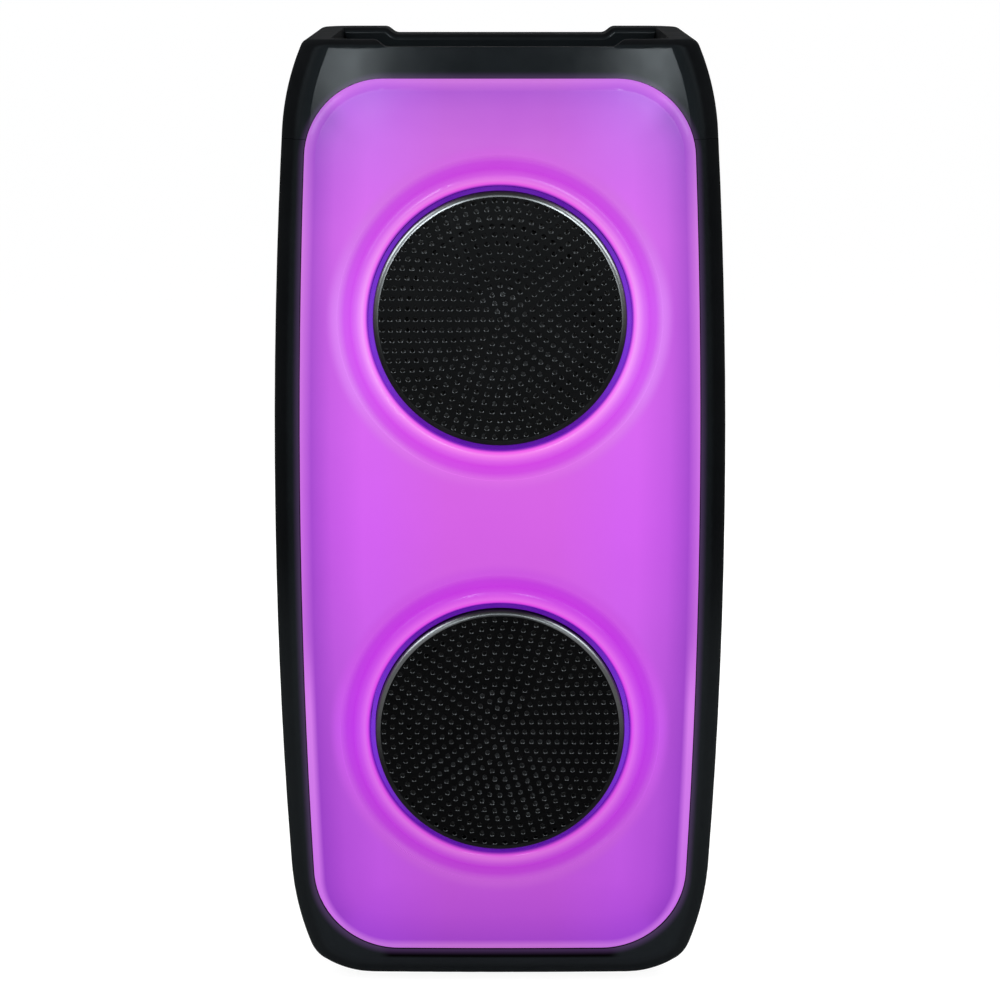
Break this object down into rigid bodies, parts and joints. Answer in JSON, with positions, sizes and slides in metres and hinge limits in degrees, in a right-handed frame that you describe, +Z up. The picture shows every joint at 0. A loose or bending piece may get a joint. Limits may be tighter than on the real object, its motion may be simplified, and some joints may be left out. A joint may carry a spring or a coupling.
{
  "type": "party speaker",
  "caption": "Tall free-standing party speaker: crowned, dished light panel with round grilles over two woofers, sunken control deck and rear carry handle.",
  "frame": {"origin": "centre of the bounding box on the ground plane under the feet", "axes": "+X to the object's right seen from the front, +Y to the rear, +Z up; the lit front faces -Y"},
  "size_m": [0.302, 0.29, 0.645],
  "materials": {
    "satin_black_shell": "fine satin texture",
    "lit_panel": "glossy, translucent, lit from behind",
    "violet_light_guide": "clear, lit deep violet",
    "black_steel_grille": "satin powder coat",
    "moulded_black_plastic": "moulded matte",
    "white_reflector": "matte white",
    "circuit_board": "solder mask",
    "black_steel": "stamped and coated",
    "surround_rubber": "matte",
    "paper_cone": "pressed pulp, coated",
    "copper_winding": "enamelled copper wire",
    "plated_steel": "zinc plated",
    "ferrite": "sintered",
    "gloss_black_panel": "piano gloss",
    "button_plastic": "satin",
    "socket_plastic": "moulded",
    "aluminium_extrusion": "mill finish",
    "battery_wrap": "shrink wrap",
    "black_screw_steel": "black oxide"
  },
  "bodies": {
    "cabinet": {"front_frame": "satin_black_shell", "top_housing": "satin_black_shell", "carry_handle": "satin_black_shell", "rear_cabinet": "satin_black_shell", "light_panel": "lit_panel", "front_baffle": "moulded_black_plastic", "reflector_tray": "white_reflector", "led_strips": "circuit_board", "upper_grille": "black_steel_grille", "lower_grille": "black_steel_grille", "upper_light_ring": "violet_light_guide", "lower_light_ring": "violet_light_guide", "upper_woofer_basket": "black_steel", "upper_surround": "surround_rubber", "upper_spider": "moulded_black_plastic", "upper_top_plate": "plated_steel", "upper_magnet": "ferrite", "upper_yoke": "plated_steel", "lower_woofer_basket": "black_steel", "lower_surround": "surround_rubber", "lower_spider": "moulded_black_plastic", "lower_top_plate": "plated_steel", "lower_magnet": "ferrite", "lower_yoke": "plated_steel", "control_panel": "gloss_black_panel", "control_board": "circuit_board", "button_switches": "circuit_board", "volume_encoder": "plated_steel", "bass_port": "moulded_black_plastic", "connector_panel": "moulded_black_plastic", "microphone_jack_left": "socket_plastic", "microphone_jack_right": "socket_plastic", "aux_jack": "socket_plastic", "usb_port": "plated_steel", "power_inlet": "socket_plastic", "inlet_pins": "plated_steel", "amplifier_board": "circuit_board", "heat_sink": "aluminium_extrusion", "battery_pack": "battery_wrap", "battery_bracket": "black_steel", "foot_front_left": "surround_rubber", "foot_front_right": "surround_rubber", "foot_rear_left": "surround_rubber", "foot_rear_right": "surround_rubber", "connector_panel_screws": "black_screw_steel", "cabinet_screws": "black_screw_steel"},
    "upper_cone_assembly": {"upper_cone": "paper_cone", "upper_dust_cap": "paper_cone", "upper_voice_coil": "copper_winding"},
    "lower_cone_assembly": {"lower_cone": "paper_cone", "lower_dust_cap": "paper_cone", "lower_voice_coil": "copper_winding"},
    "power_button": {"power_button": "button_plastic"},
    "source_button": {"source_button": "button_plastic"},
    "previous_button": {"previous_button": "button_plastic"},
    "play_button": {"play_button": "button_plastic"},
    "next_button": {"next_button": "button_plastic"},
    "light_button": {"light_button": "button_plastic"},
    "volume_control": {"volume_knob": "gloss_black_panel", "encoder_shaft": "plated_steel"}
  },
  "joints": [
    {"name": "upper_cone_stroke", "type": "slide", "parent": "cabinet", "child": "upper_cone_assembly", "axis": [0, -0.9986, 0.0536], "range_m": [-0.003, 0.003], "stiffness_N_per_m": 2000},
    {"name": "lower_cone_stroke", "type": "slide", "parent": "cabinet", "child": "lower_cone_assembly", "axis": [0, -0.9986, -0.0536], "range_m": [-0.003, 0.003], "stiffness_N_per_m": 2000},
    {"name": "power_button_press", "type": "slide", "parent": "cabinet", "child": "power_button", "axis": [0, 0, -1], "range_m": [0, 0.0008], "stiffness_N_per_m": 900},
    {"name": "source_button_press", "type": "slide", "parent": "cabinet", "child": "source_button", "axis": [0, 0, -1], "range_m": [0, 0.0008], "stiffness_N_per_m": 900},
    {"name": "previous_button_press", "type": "slide", "parent": "cabinet", "child": "previous_button", "axis": [0, 0, -1], "range_m": [0, 0.0008], "stiffness_N_per_m": 900},
    {"name": "play_button_press", "type": "slide", "parent": "cabinet", "child": "play_button", "axis": [0, 0, -1], "range_m": [0, 0.0008], "stiffness_N_per_m": 900},
    {"name": "next_button_press", "type": "slide", "parent": "cabinet", "child": "next_button", "axis": [0, 0, -1], "range_m": [0, 0.0008], "stiffness_N_per_m": 900},
    {"name": "light_button_press", "type": "slide", "parent": "cabinet", "child": "light_button", "axis": [0, 0, -1], "range_m": [0, 0.0008], "stiffness_N_per_m": 900},
    {"name": "volume_turn", "type": "hinge", "parent": "cabinet", "child": "volume_control", "pos_m": [0, -0.00303, 0.62], "axis": [0, 0, 1], "continuous": true}
  ]
}
